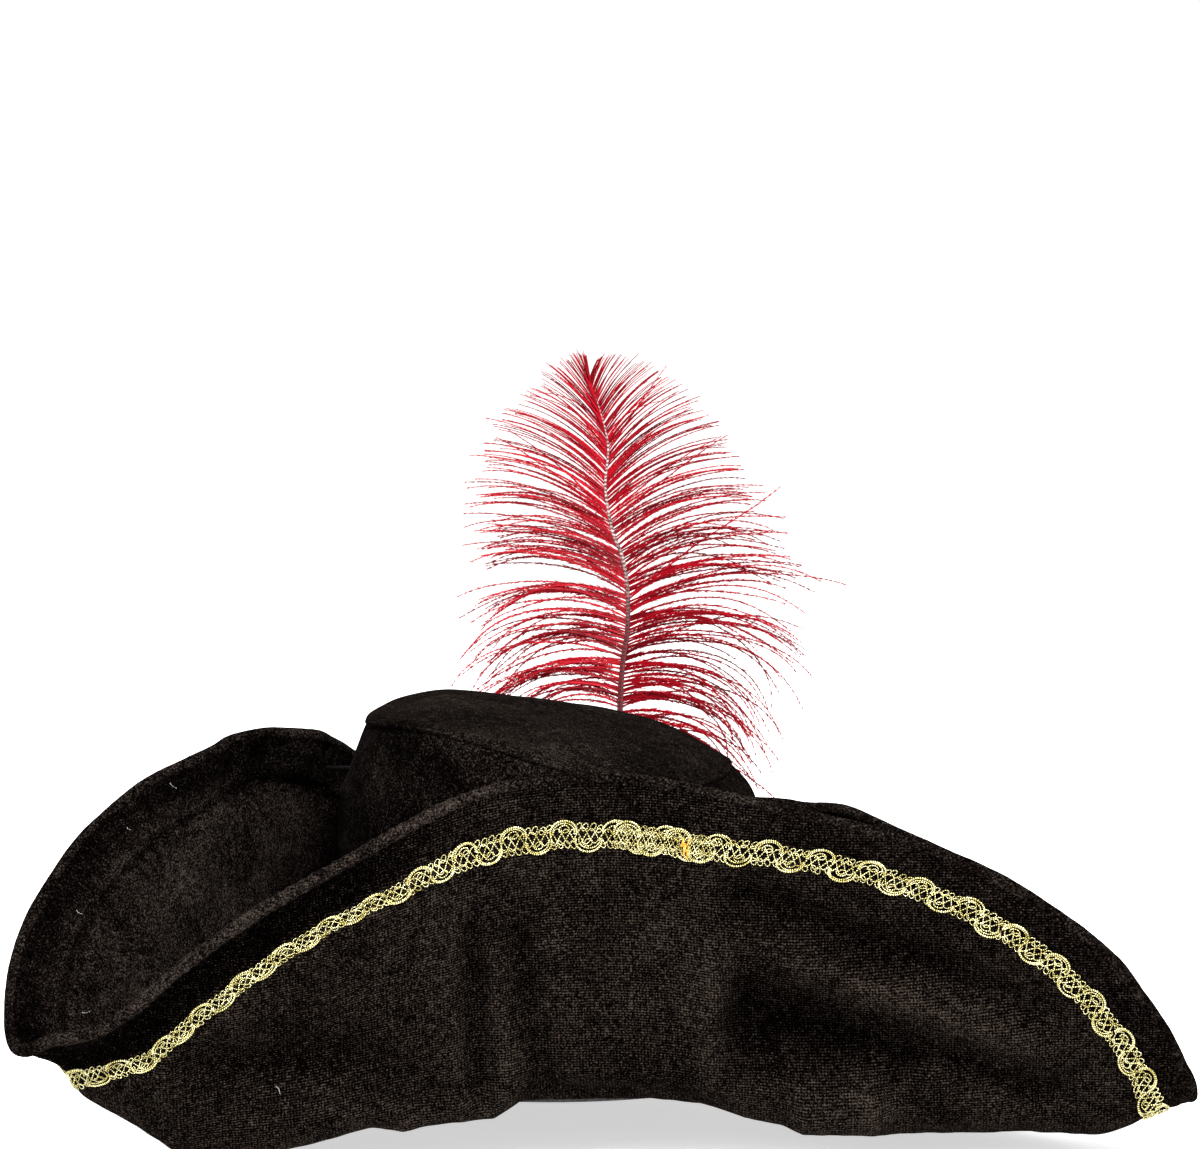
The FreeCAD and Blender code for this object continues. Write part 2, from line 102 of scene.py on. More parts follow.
# height, half width and half depth as shares of the headline oval, sideways shift, tilt
CROWN_LEVELS = [
    (0, 1, 1, 0, 0),
    (40, 0.959, 0.965, 0, 1.5),
    (76, 0.93, 0.93, 0, 5),
    (103, 0.9, 0.9, 0, 7),
    (122.6, 0.8, 0.822, -1.5, 11),
    (127.5, 0.65, 0.68, -4, 7.8),
    (131.5, 0.4, 0.42, -7, 6),
    (132, 0.12, 0.125, -9, 5.5),
]
SEAM_LEVEL = 4

# depths of the crown's layers below its outside
CROWN_COVER, CROWN_FOAM, CROWN_LINING = (0.0, 0.9), (1.1, 1.85), (2.05, 2.45)

# how far the soft crown sinks at its front, in the middle of its tip, at its left shoulder, on top
FRONT_SAG, TIP_DIP, SHOULDER_SAG, TOP_SAG = 7.5, 2.0, 11.0, 2.6

# the plume's shaft: sideways place and height
SHAFT = [
    (24, 46), (24, 64), (25, 113), (26, 134), (28, 149), (28, 165),
    (26, 177), (22, 188), (19.5, 204), (20.5, 220), (17, 235), (10, 252),
]


# ------------------------ mesh helpers


def grid_quads(rows, columns, wrap_rows=False, wrap_columns=False):
    """Quads over a grid of points stored row by row."""
    row = np.arange(rows if wrap_rows else rows - 1)
    column = np.arange(columns if wrap_columns else columns - 1)
    r, c = np.meshgrid(row, column, indexing="ij")
    r_next, c_next = (r + 1) % rows, (c + 1) % columns
    corners = [r * columns + c, r_next * columns + c, r_next * columns + c_next, r * columns + c_next]
    return np.stack([corner.ravel() for corner in corners], axis=1)


def add_object(name, data):
    """A new object in the scene that holds some data."""
    item = bpy.data.objects.new(name, data)
    bpy.context.scene.collection.objects.link(item)
    return item


def make_piece(name, points, faces, material, body, smooth=True):
    """A mesh piece of the object, in millimetres, riding on a body."""
    mesh = bpy.data.meshes.new(name)
    mesh.from_pydata((np.asarray(points, float) * MM).tolist(), [], [list(f) for f in faces])
    mesh.polygons.foreach_set("use_smooth", [smooth] * len(mesh.polygons))
    mesh.materials.append(material)
    mesh.update()
    piece = add_object(name, mesh)
    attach(piece, body)
    return piece


def store(piece, name, values):
    """Keeps a number for each point of a piece, for its material to read."""
    data = np.asarray(values, np.float32)
    kind = "FLOAT_VECTOR" if data.ndim == 2 else "FLOAT"
    attribute = piece.data.attributes.new(name, kind, "POINT")
    attribute.data.foreach_set("vector" if data.ndim == 2 else "value", data.ravel())


def unit(vectors):
    """Vectors scaled to length one."""
    return vectors / np.maximum(np.linalg.norm(vectors, axis=-1, keepdims=True), 1e-9)


def rings(lines, along, radii, up, sides):
    """Points of a round section at every point of many lines, square to the directions along."""
    side = unit(np.cross(along, up))
    over = np.cross(side, along)
    turns = 2 * np.pi * np.arange(sides) / sides
    radii = np.broadcast_to(radii, lines.shape[:2])[:, :, None, None]
    ring = side[:, :, None] * np.cos(turns)[:, None] + over[:, :, None] * np.sin(turns)[:, None]
    return (lines[:, :, None] + ring * radii).reshape(-1, 3)


def tubes(lines, radii, up, sides):
    """Many closed tubes at once: lines is (tubes, points, 3), and up is a direction beside each.

    Returns the points, the faces, and each point's place along its own tube from 0 to 1.
    """
    count, steps, _ = lines.shape
    points = rings(lines, unit(np.gradient(lines, axis=1)), radii, up, sides)
    one = grid_quads(steps, sides, wrap_columns=True)
    offsets = np.arange(count)[:, None, None] * steps * sides
    quads = (one[None] + offsets).reshape(-1, 4)
    first = np.arange(sides)[::-1]
    caps = np.concatenate([first, np.arange(sides) + (steps - 1) * sides]).reshape(2, sides)
    caps = (caps[None] + offsets).reshape(-1, sides)
    place = np.broadcast_to(np.linspace(0, 1, steps)[None, :, None], (count, steps, sides))
    return points, [*quads.tolist(), *caps.tolist()], place.ravel()


def hoops(lines, radii, up, sides):
    """Like tubes, for lines that close on themselves."""
    count, steps, _ = lines.shape
    along = unit(np.roll(lines, -1, axis=1) - np.roll(lines, 1, axis=1))
    points = rings(lines, along, radii, up, sides)
    one = grid_quads(steps, sides, wrap_rows=True, wrap_columns=True)
    quads = (one[None] + np.arange(count)[:, None, None] * steps * sides).reshape(-1, 4)
    return points, quads.tolist()


def gather(parts):
    """Joins lists of (points, faces) into one."""
    points, faces, start = [], [], 0
    for some_points, some_faces in parts:
        points.append(some_points)
        faces += [[index + start for index in face] for face in some_faces]
        start += len(some_points)
    return np.concatenate(points), faces


def smooth_rows(rows, wanted):
    """Smooth values between the rows of a table, at the wanted row numbers."""
    rows = np.asarray(rows, float)
    slopes = np.gradient(rows, axis=0)
    base = np.clip(np.floor(wanted).astype(int), 0, len(rows) - 2)
    part = (wanted - base)[:, None]
    rise = slopes[base] * (part**3 - 2 * part**2 + part) + slopes[base + 1] * (part**3 - part**2)
    blend = rows[base] * (2 * part**3 - 3 * part**2 + 1) + rows[base + 1] * (3 * part**2 - 2 * part**3)
    return blend + rise


# ------------------------ the brim's surface


def rim_radius(angle):
    """Distance from the centre to the edge of the brim while it was still flat."""
    waves = enumerate(RIM_WAVES, start=1)
    return RIM_MEAN + sum(c * np.cos(k * angle) + s * np.sin(k * angle) for k, (c, s) in waves)


def headline_radius(angle):
    """Inner edge of the brim, just outside the crown."""
    half_width, half_depth = CROWN_HALF_WIDTH + HEADLINE_GAP, CROWN_HALF_DEPTH + HEADLINE_GAP
    across, along = half_depth * np.cos(angle), half_width * np.sin(angle)
    return half_width * half_depth / np.hypot(across, along)


def edge_inset(x, y):
    """How far a point of the flat brim lies inside its edge, and the point's direction."""
    angle = np.arctan2(y, x)
    return rim_radius(angle) - np.hypot(x, y), angle


def smooth_brim(x, y):
    """The turned-up brim's lower face, for points of the flat brim."""
    place = np.stack([x, y, np.zeros_like(x)], axis=-1)
    for facing, fold_out, radius, (middle, slope, bow) in FLAPS.values():
        facing = math.radians(facing)
        normal = np.array([math.cos(facing), math.sin(facing), 0.0])
        share = (-x * normal[1] + y * normal[0]) / FLAP_SPAN
        travel = np.maximum(x * normal[0] + y * normal[1] - fold_out, 0.0)
        lean = np.clip(middle + slope * share + bow * share**2, LEAST_LEAN, MOST_LEAN)
        lean = np.radians(lean)
        bent = np.minimum(travel, radius * lean)
        straight = travel - bent
        out = radius * np.sin(bent / radius) + straight * np.cos(lean) - travel
        up = radius * (1 - np.cos(bent / radius)) + straight * np.sin(lean)
        place = place + out[..., None] * normal
        place[..., 2] += up
    angle = np.arctan2(place[..., 1], place[..., 0])
    beyond = np.maximum(np.hypot(place[..., 0], place[..., 1]) - headline_radius(angle), 0.0)
    depth = DROOP_DEPTH - DROOP_SIDEWAYS * np.cos(angle)
    place[..., 2] -= depth * (1 - np.exp(-((beyond / DROOP_REACH) ** 2)))
    return place


# Creases of the cloth, as lines on the flat brim: ends, half width, and how far the outside of the
# flap is pressed in (or, below zero, pushed out).
CREASES = [
    # gathers in the middle of the front flap, rising from the headline
    ((-25.7, -186), (-25.4, -121), 4.2, 4.4),
    ((-35, -178), (-33, -122), 5, -2.6),
    ((-9.4, -184), (-2.1, -121), 4.5, 4.6),
    ((-18, -178), (-14, -122), 4, -2.6),
    ((8, -162), (12, -123), 6, -1.4),
    ((58, -176), (56, -122), 6, -4),
    ((-58, -150), (-48, -122), 6, 2.4),
    # the upper valley on the right, below the braid, and the ridge under it
    ((66, -198), (109, -182), 8.5, 7.5),
    ((109, -182), (144, -170), 8.5, 7.5),
    ((144, -170), (178, -151), 7.5, 4.4),
    ((84, -174), (121, -162), 6, -4),
    ((121, -162), (172, -142), 6.5, -4),
    # the deep hollow above the right keel
    ((66, -157), (98, -147), 12, 10),
    ((98, -147), (132, -138), 10.5, 8.5),
    ((134, -143), (182, -120), 7.5, 5),
    ((72, -148), (78, -130), 7, 5),
    # fine folds close below the braid on the right
    ((94, -201), (146, -183), 3, 1.3),
    ((146, -183), (180, -162), 3, 1.1),
    # the hollow above the left keel, the keels' full undersides and the arch between them
    ((-125, -160), (-58, -144), 11, 5.5),
    ((-150, -122), (-66, -124), 13, -1.2),
    ((-58, -117), (-16, -115), 11, -5),
    ((100, -124), (170, -106), 12, 0.8),
    ((86, -118), (118, -119), 11, -6),
    ((-4, -116), (60, -116), 14, 4.5),
    # back-left flap: its top is drawn in towards the crown by the tack
    ((-236, 22), (-212, 4), 4.5, -3),
    ((-213, 8), (-203, 25), 5, -3.4),
    ((-203, 25), (-184, 52), 6, -3.4),
    ((-228, 38), (-206, 50), 10, 3.4),
    # small creases deep in the left tip
    ((-197, -88), (-179, -60), 2.8, -2.2),
    ((-191, -92), (-172, -64), 3.2, 2),
    # soft dents on the left flap's inside
    ((-195, -32), (-190, -14), 11, 2.2),
    ((-215, -52), (-222, -30), 9, 2),
    # back-right flap
    ((150, 96), (176, 60), 9, 3.4),
    ((120, 120), (140, 140), 6, -2.6),
    ((60, 150), (75, 190), 8, 3),
    # back corner and back-left flap towards it
    ((-90, 150), (-120, 175), 8, 3),
    ((-60, 190), (-85, 200), 7, -2.4),
]


def crease_depth(x, y):
    """How far the cloth is pressed in at a point of the flat brim."""
    total = np.zeros_like(x)
    for (x0, y0), (x1, y1), width, depth in CREASES:
        dx, dy = x1 - x0, y1 - y0
        length = math.hypot(dx, dy)
        along = ((x - x0) * dx + (y - y0) * dy) / length**2
        beyond = np.maximum(np.maximum(-along, along - 1), 0) * length
        off = ((x - x0) * dy - (y - y0) * dx) / length
        fade = np.clip(np.minimum(along, 1 - along) * 4 + 0.55, 0.0, 1.0)
        total += depth * fade * np.exp(-(off**2 + beyond**2) / width**2)
    return total


def window(value, first, last, fade):
    """One between two limits, falling smoothly to zero over a fade outside them."""
    rise = np.clip((value - first) / fade + 1, 0, 1)
    fall = np.clip((last - value) / fade + 1, 0, 1)
    both = rise * fall
    return both * both * (3 - 2 * both)


def by_direction(table, angle):
    """The amounts of a table by direction, added up at an angle."""
    degrees = np.degrees(angle) % 360
    return sum(amount * window(degrees, first, last, fade) for first, last, fade, amount in table)


def shelf_depth(angle, inset):
    """The step along the braid: the cloth bulges below the braid and draws back above it."""
    step = np.tanh((inset - BRAID_INSET) / SHELF_HALF_WIDTH)
    below = np.exp(-(np.maximum(inset - BRAID_INSET, 0) / SHELF_BULGE_REACH) ** 2)
    above = np.clip(inset / 9.0 + 0.15, 0, 1)
    share = by_direction(SHELF_RANGE, angle)
    return -SHELF_STEP * share * step * np.where(inset > BRAID_INSET, below, above)


def edge_lift(angle, inset):
    """How far the cloth is raised or lowered by the uneven stand of the edge, most at the edge."""
    return by_direction(EDGE_LIFTS, angle) * np.clip(1 - inset / EDGE_LIFT_REACH, 0, 1)


def ripple(x, y, seed, pitch):
    """Soft pseudo-random swells from a few crossed waves, between about -1 and 1."""
    waves = np.random.default_rng(seed)
    total = np.zeros_like(x)
    for _ in range(9):
        heading = waves.uniform(0, 2 * math.pi)
        wave = 2 * math.pi / (pitch * waves.uniform(0.6, 1.7))
        phase = waves.uniform(0, 2 * math.pi)
        total += np.sin(wave * (x * math.cos(heading) + y * math.sin(heading)) + phase)
    return total / 4.5


def brim_point(angle, radius, depth=0.0):
    """Points a given depth inwards from the creased lower face, and the inward directions."""
    x, y = radius * np.cos(angle), radius * np.sin(angle)
    step = 0.5
    turn = step / radius

    def face(a, r):
        return smooth_brim(r * np.cos(a), r * np.sin(a))

    outward = face(angle, radius + step) - face(angle, radius - step)
    sideways = face(angle + turn, radius) - face(angle - turn, radius)
    inward = unit(np.cross(outward, sideways))
    headroom = np.clip((radius - headline_radius(angle)) / HEADLINE_FADE, 0, 1)
    sunk = (crease_depth(x, y) + DRAPE_HEIGHT * ripple(x, y, 11, DRAPE_PITCH)) * headroom
    inset = rim_radius(angle) - radius
    sunk += shelf_depth(angle, inset)
    points = smooth_brim(x, y) + inward * (sunk + depth)[..., None]
    points[..., 2] += edge_lift(angle, inset)
    return points, inward


def brim_layer(name, low, high, steps, material, node, fine=None, painted_light_and_shade=None):
    """One closed sheet of the brim between two depths.

    fine adds a texture to its seen face, and lay adds painted light and shade to its pile.
    """
    steps_round, steps_out = steps
    angle = np.linspace(0, 2 * np.pi, steps_round, endpoint=False)[:, None]
    even = np.linspace(0, 1, steps_out)[None]
    share = 1.35 * even - 0.35 * even**2
    near = headline_radius(angle) - SEAM_TUCK
    radius = near + (rim_radius(angle) - 1.2 * EDGE_ROLL - near) * share
    angle = np.broadcast_to(angle, radius.shape)
    x, y = radius * np.cos(angle), radius * np.sin(angle)
    edge = np.clip(np.minimum(share, 1 - share) * 30, 0, 1)
    extra = fine(x, y) * edge if fine else np.zeros_like(x)
    outer, _ = brim_point(angle, radius, low + (extra if low == 0 else 0))
    inner, _ = brim_point(angle, radius, high + (extra if low > 0 else 0))
    points = np.concatenate([outer.reshape(-1, 3), inner.reshape(-1, 3)])
    lower = grid_quads(steps_round, steps_out, wrap_rows=True)
    half = steps_round * steps_out
    ring = np.arange(steps_round) * steps_out
    following = np.roll(ring, -1)
    walls = []
    for column, flip in ((0, False), (steps_out - 1, True)):
        a, b = ring + column, following + column
        wall = np.stack([a, a + half, b + half, b], axis=1)
        walls.append(wall[:, ::-1] if flip else wall)
    faces = np.concatenate([lower[:, ::-1], lower + half, *walls])
    piece = make_piece(name, points, faces.tolist(), material, HAT)
    grain = np.stack([x.ravel(), y.ravel(), np.zeros(x.size)], axis=1)
    store(piece, "grain", np.concatenate([grain, grain]))
    if painted_light_and_shade:
        store(piece, "painted_light_and_shade", np.tile(painted_light_and_shade(x, y).ravel(), 2))
    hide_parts(node)
    return piece


# ------------------------ materials


class Nodes:
    """A short way to build a material's nodes."""

    def __init__(self, name):
        self.material = bpy.data.materials.new(name)
        self.material.use_nodes = True
        self.tree = self.material.node_tree
        self.shader = self.tree.nodes["Principled BSDF"]

    def add(self, kind, inputs=None, **settings):
        node = self.tree.nodes.new(kind)
        for key, value in settings.items():
            setattr(node, key, value)
        for key, value in (inputs or {}).items():
            self.put(node.inputs[key], value)
        return node

    def put(self, socket, value):
        if isinstance(value, bpy.types.NodeSocket):
            self.tree.links.new(value, socket)
        else:
            socket.default_value = value

    def set(self, **values):
        for key, value in values.items():
            self.put(self.shader.inputs[key.replace("_", " ")], value)

    def maths(self, operation, first, second=0.0):
        node = self.add("ShaderNodeMath", operation=operation)
        self.put(node.inputs[0], first)
        self.put(node.inputs[1], second)
        return node.outputs[0]

    def total(self, *terms):
        """The sum of some sockets, each times its weight."""
        parts = [self.maths("MULTIPLY", socket, weight) for socket, weight in terms]
        added = parts[0]
        for part in parts[1:]:
            added = self.maths("ADD", added, part)
        return added

    def wave(self, socket, pitch):
        """A wave along a socket's value."""
        return self.maths("SINE", self.maths("MULTIPLY", socket, 2 * math.pi / pitch))

    def noise(self, vector, scale, detail=3.0, rough=0.55, warp=0.0):
        node = self.add("ShaderNodeTexNoise", {"Vector": vector, "Scale": scale, "Detail": detail,
                                              "Roughness": rough, "Distortion": warp})
        return node.outputs["Fac"]

    def ramp(self, factor, stops):
        node = self.add("ShaderNodeValToRGB", {"Fac": factor})
        elements = node.color_ramp.elements
        while len(elements) < len(stops):
            elements.new(0.5)
        for element, (place, colour) in zip(elements, stops):
            element.position = place
            element.color = (*colour, 1.0)
        return node.outputs["Color"]

    def bump(self, height, strength, distance, normal=None):
        inputs = {"Height": height, "Strength": strength, "Distance": distance}
        node = self.add("ShaderNodeBump", inputs)
        if normal is not None:
            self.put(node.inputs["Normal"], normal)
        return node.outputs["Normal"]

    def attribute(self, name, output="Fac"):
        return self.add("ShaderNodeAttribute", attribute_name=name).outputs[output]

    def place(self):
        return self.add("ShaderNodeTexCoord").outputs["Object"]


KNIT_ROW_PITCH, KNIT_LOOP_PITCH = 0.95, 1.1


def velvet(name, knit=False):
    """Short-pile black velvet: bright pile tips on black, and knit rows on the outside."""
    n = Nodes(name)
    where = n.place()
    crushed = n.noise(where, 34.0, 4.0, 0.6, 0.8)
    clumps = n.noise(where, 330.0, 3.0, 0.65)
    tips = n.noise(where, 1500.0, 2.0, 0.7)
    mottled = 0.11 if knit else 0.18
    # painted light and shade that each piece stores, added straight into the velvet's tone
    painted_light_and_shade = n.attribute("painted_light_and_shade")
    tone = n.total((tips, 0.82 - mottled), (clumps, 0.18), (crushed, mottled), (painted_light_and_shade, 1.0))
    height = n.total((clumps, 0.6), (tips, 0.7))
    dark, mid, light = (0.0002, 0.0001, 0.0001), (0.0030, 0.0021, 0.0018), (0.046, 0.036, 0.030)
    if knit:
        grain = n.add("ShaderNodeSeparateXYZ", {"Vector": n.attribute("grain", "Vector")})
        rows = n.wave(grain.outputs["Y"], KNIT_ROW_PITCH)
        loops = n.wave(grain.outputs["X"], KNIT_LOOP_PITCH)
        weave = n.total((rows, 0.34), (loops, 0.16))
        tone = n.total((tone, 1.0), (weave, 0.15))
        height = n.total((height, 1.0), (weave, 0.5))
        light = (0.041, 0.032, 0.025)
    colour = n.ramp(tone, [(0.42, dark), (0.53, mid), (0.67, light)])
    normal = n.bump(height, 0.6, 0.0006, n.bump(crushed, 0.3, 0.003))
    n.set(Base_Color=colour, Roughness=0.85, Normal=normal)
    n.set(Sheen_Weight=0.008, Sheen_Roughness=0.3, Sheen_Tint=(0.85, 0.70, 0.68, 1.0))
    n.set(Specular_IOR_Level=0.0)
    return n.material


def gold():
    """Pale gold metallic cord: bright wire wound in fine turns."""
    n = Nodes("gold_gimp_wire")
    where = n.place()
    patches = n.noise(where, 260.0, 3.0, 0.6)
    glint = n.noise(where, 2400.0, 2.0, 0.6)
    turns = n.wave(n.attribute("wound"), 1.0)
    tone = n.total((patches, 0.6), (turns, 0.17))
    olive, middle, bright = (0.10, 0.075, 0.012), (0.58, 0.50, 0.15), (1.0, 0.97, 0.62)
    colour = n.ramp(tone, [(0.16, olive), (0.34, middle), (0.48, bright)])
    rough = n.maths("ADD", n.maths("MULTIPLY", glint, 0.3), 0.16)
    height = n.total((turns, 0.4), (glint, 1.0))
    n.set(Base_Color=colour, Metallic=0.9, Roughness=rough, Normal=n.bump(height, 0.5, 0.0002))
    return n.material


def thread(name, dark, light):
    """Sewing thread with a fine twist."""
    n = Nodes(name)
    where = n.place()
    twist = n.noise(where, 1800.0, 2.0)
    n.set(Base_Color=n.ramp(twist, [(0.3, dark), (0.7, light)]), Roughness=0.6)
    n.set(Normal=n.bump(twist, 0.5, 0.0002), Specular_IOR_Level=0.05)
    return n.material


def plume_red():
    """Dyed ostrich barbs: crimson, darker near the shaft, in patches and from barb to barb."""
    n = Nodes("plume_barbs")
    where = n.place()
    patch = n.noise(where, 55.0, 3.0, 0.6)
    tone = n.total((patch, 0.35), (n.attribute("shade"), 0.65))
    stops = [(0.12, (0.03, 0.0004, 0.002)), (0.4, (0.17, 0.0008, 0.005)), (0.8, (0.42, 0.002, 0.012))]
    n.set(Base_Color=n.ramp(tone, stops), Roughness=0.55)
    n.set(Sheen_Weight=0.05, Sheen_Roughness=0.4, Sheen_Tint=(1.0, 0.4, 0.4, 1.0))
    n.set(Specular_IOR_Level=0.1)
    return n.material


def shaft_material():
    """Bare quill: pale and pinkish with dark flecks above, dyed dark red towards the foot."""
    n = Nodes("quill_shaft")
    where = n.place()
    height = n.add("ShaderNodeSeparateXYZ", {"Vector": where}).outputs["Z"]
    flecks = n.noise(where, 900.0, 2.0, 0.7)
    ticks = n.maths("SINE", n.maths("MULTIPLY", height, 4200.0))
    tone = n.total((flecks, 0.8), (ticks, 0.12))
    stops = [(0.32, (0.05, 0.03, 0.03)), (0.47, (0.34, 0.22, 0.21)), (0.72, (0.80, 0.72, 0.70))]
    pale = n.ramp(tone, stops)
    red = n.ramp(tone, [(0.3, (0.04, 0.002, 0.004)), (0.7, (0.20, 0.008, 0.015))])
    rise = n.maths("MULTIPLY", n.maths("SUBTRACT", height, 0.150), 35.0)
    above = n.ramp(rise, [(0.0, (0, 0, 0)), (1.0, (1, 1, 1))])
    mix = n.add("ShaderNodeMix", data_type="RGBA")
    n.put(mix.inputs["Factor"], above)
    n.put(mix.inputs["A"], red)
    n.put(mix.inputs["B"], pale)
    n.set(Base_Color=mix.outputs["Result"], Roughness=0.4, Normal=n.bump(tone, 0.3, 0.0002))
    return n.material


def woven(name, dark, light, pitch):
    """Plain woven or ribbed cloth with its threads in the bump."""
    n = Nodes(name)
    where = n.place()
    parts = n.add("ShaderNodeSeparateXYZ", {"Vector": where})
    ribs = n.wave(parts.outputs["Z"], pitch)
    grain = n.noise(where, 900.0, 3.0, 0.6)
    tone = n.total((ribs, 0.18), (grain, 1.0))
    n.set(Base_Color=n.ramp(tone, [(0.25, dark), (0.75, light)]), Roughness=0.8)
    n.set(Normal=n.bump(tone, 0.5, 0.0004), Sheen_Weight=0.04, Sheen_Roughness=0.5)
    return n.material


def foam():
    """Open-cell foam."""
    n = Nodes("foam_interlining")
    cells = n.add("ShaderNodeTexVoronoi", {"Vector": n.place(), "Scale": 1400.0}).outputs["Distance"]
    n.set(Base_Color=n.ramp(cells, [(0.1, (0.02, 0.02, 0.02)), (0.6, (0.09, 0.09, 0.09))]))
    n.set(Roughness=0.9, Normal=n.bump(cells, 0.6, 0.0004))
    return n.material


PILE = velvet("velvet_crushed_pile")
KNIT = velvet("velvet_knit_rows", knit=True)
GOLD = gold()
ORANGE = thread("thread_orange_gold", (0.45, 0.16, 0.01), (0.95, 0.55, 0.10))
BLACK = thread("thread_black", (0.0005, 0.0005, 0.0005), (0.003, 0.003, 0.003))
LINT = thread("thread_lint", (0.45, 0.45, 0.45), (0.85, 0.85, 0.85))
BARBS = plume_red()
SHAFT_LOOK = shaft_material()
FOAM = foam()
LINING = woven("lining_cloth", (0.010, 0.010, 0.011), (0.045, 0.045, 0.048), 0.0009)
RIBBON = woven("ribbon_ribs", (0.012, 0.012, 0.013), (0.055, 0.053, 0.055), 0.0014)
LABEL = woven("label_tape", (0.55, 0.54, 0.50), (0.86, 0.85, 0.80), 0.0008)
FELT = woven("felt_tab", (0.010, 0.009, 0.009), (0.05, 0.045, 0.045), 0.004)


# ------------------------ brim

# Painted shade and painted light on the pile, as shares of the velvet's tone ramp: painted shade in
# hollows, in the braid's groove, along the hem and inner rim, at the crown's foot and on the crown's
# side band; painted light on the inner face and the edge fold.
HEM_DARK, SHELF_DARK, RIM_DARK, FOOT_DARK, GROOVE_DARK = 0.028, 0.055, 0.06, 0.06, 0.05
HOLLOW_DARK_PER_MM, INNER_LIGHT_PER_MM = 0.0062, 0.004
INNER_LIGHT, EDGE_LIGHT, CROWN_DARK = 0.02, 0.005, 0.02

# How finely the brim's layers are divided: round the brim and outwards.
COVER_STEPS, FOAM_STEPS = (560, 84), (420, 60)


def build_brim():
    """Both velvet covers and the foam between them."""
    outer = brim_layer(
        "brim_outer_velvet", 0.0, VELVET_THICK, COVER_STEPS, KNIT, "brim_under_cover",
        fine=lambda x, y: 0.22 * ripple(x, y, 21, 11.0) + hem_crease(x, y),
        painted_light_and_shade=outer_painted_light_and_shade,
    )
    low = VELVET_THICK + FOAM_THICK
    inner = brim_layer(
        "brim_inner_velvet", low, low + VELVET_THICK, COVER_STEPS, PILE,
        "brim_top_cover",
        fine=lambda x, y: 0.35 * ripple(x, y, 31, 15.0) - 0.4 * sewn_groove(x, y) - hem_crease(x, y),
        painted_light_and_shade=inner_painted_light_and_shade,
    )
    foam_low, foam_high = VELVET_THICK + 0.3, low - 0.5
    brim_layer("brim_foam", foam_low, foam_high, FOAM_STEPS, FOAM, "brim_stiffener")


def sewn_groove(x, y):
    """The shallow groove that the braid's sewing pulls into the inner cover."""
    inset, _ = edge_inset(x, y)
    return np.exp(-(((inset - BRAID_INSET) / 1.3) ** 2))


def outer_painted_light_and_shade(x, y):
    """Painted shade and light for the outer pile: painted shade in hollows and in the band along the
    hem, painted light on ridges.
    """
    inset, angle = edge_inset(x, y)
    darkest = HEM_DARK + SHELF_DARK * by_direction(SHELF_RANGE, angle)
    band = darkest * np.clip((BRAID_INSET - inset) / 4.0, 0, 1)
    return -HOLLOW_DARK_PER_MM * np.clip(crease_depth(x, y), -4.0, 11.0) - band


def inner_painted_light_and_shade(x, y):
    """Painted light and shade for the inner pile: painted light over its open face, more where the
    cloth is pressed in, and painted shade at the rim, at the crown's foot and in the braid's groove.
    """
    inset, angle = edge_inset(x, y)
    outset = np.hypot(x, y) - headline_radius(angle)
    rim = RIM_DARK * np.clip((17.0 - inset) / 8.0, 0, 1)
    foot = FOOT_DARK * np.clip((34.0 - outset) / 28.0, 0, 1)
    open_face = INNER_LIGHT + INNER_LIGHT_PER_MM * crease_depth(x, y)
    return open_face - rim - foot - GROOVE_DARK * sewn_groove(x, y)


def hem_crease(x, y):
    """The crease inside the hem, with the puckers of its hidden stitches."""
    inset, angle = edge_inset(x, y)
    pucker = 0.75 + 0.25 * np.sin(151 * angle) + 0.15 * np.sin(67 * angle + 1)
    crease = 0.55 * np.exp(-(((inset - 6.0) / 1.1) ** 2)) * pucker
    return crease - 0.25 * np.exp(-(((inset - 8.6) / 1.6) ** 2))


def build_edge():
    """The folded edge: a soft roll with fine puckers where it is hemmed."""
    steps = 1500
    angle = np.linspace(0, 2 * np.pi, steps, endpoint=False)
    middle = VELVET_THICK + FOAM_THICK / 2
    centre, inward = brim_point(angle, rim_radius(angle) - EDGE_ROLL, middle)
    wobble = np.zeros(steps)
    for turns, size in ((23, 0.35), (61, 0.22), (143, 0.16)):
        wobble += size * np.sin(turns * angle + rng.uniform(0, 6.28))
    gathered = 0.12 + by_direction(EDGE_GATHERS, angle)
    puckers = gathered * np.sin(390 * angle + 2.0 * np.sin(31 * angle))
    centre = centre + inward * (0.25 * wobble)[:, None]
    radius = EDGE_RADIUS + 0.25 * wobble + 0.2 * puckers
    points, quads = hoops(centre[None], radius[None], inward[None], EDGE_SIDES)
    piece = make_piece("brim_edge_fold", points, quads, PILE, HAT)
    # painted highlight on the edge fold: a little all round, more along the front flap's left part
    painted_light_and_shade = EDGE_LIGHT + by_direction(EDGE_LIT, angle)
    store(piece, "painted_light_and_shade", np.repeat(painted_light_and_shade, EDGE_SIDES))
    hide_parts("brim_edge_roll")


# ------------------------ crown


def crown_surface(levels, steps_round, inset=0.0):
    """A grid of points over the crown, moved inwards by an inset.

    levels is the first and last of its levels, and the number of steps between them.
    """
    sections = smooth_rows(CROWN_LEVELS, np.linspace(*levels))
    height, wide, deep, shift, tilt = (column[None] for column in sections.T)
    angle = np.linspace(0, 2 * np.pi, steps_round, endpoint=False)[:, None]
    x = (CROWN_HALF_WIDTH * wide - inset) * np.cos(angle)
    y = (CROWN_HALF_DEPTH * deep - inset) * np.sin(angle)
    tilt = np.radians(tilt)
    top = np.clip((height - 100.0) / 30.0, 0, 1)
    return np.stack([shift + x * np.cos(tilt), y, height - inset * top - x * np.sin(tilt)], -1)


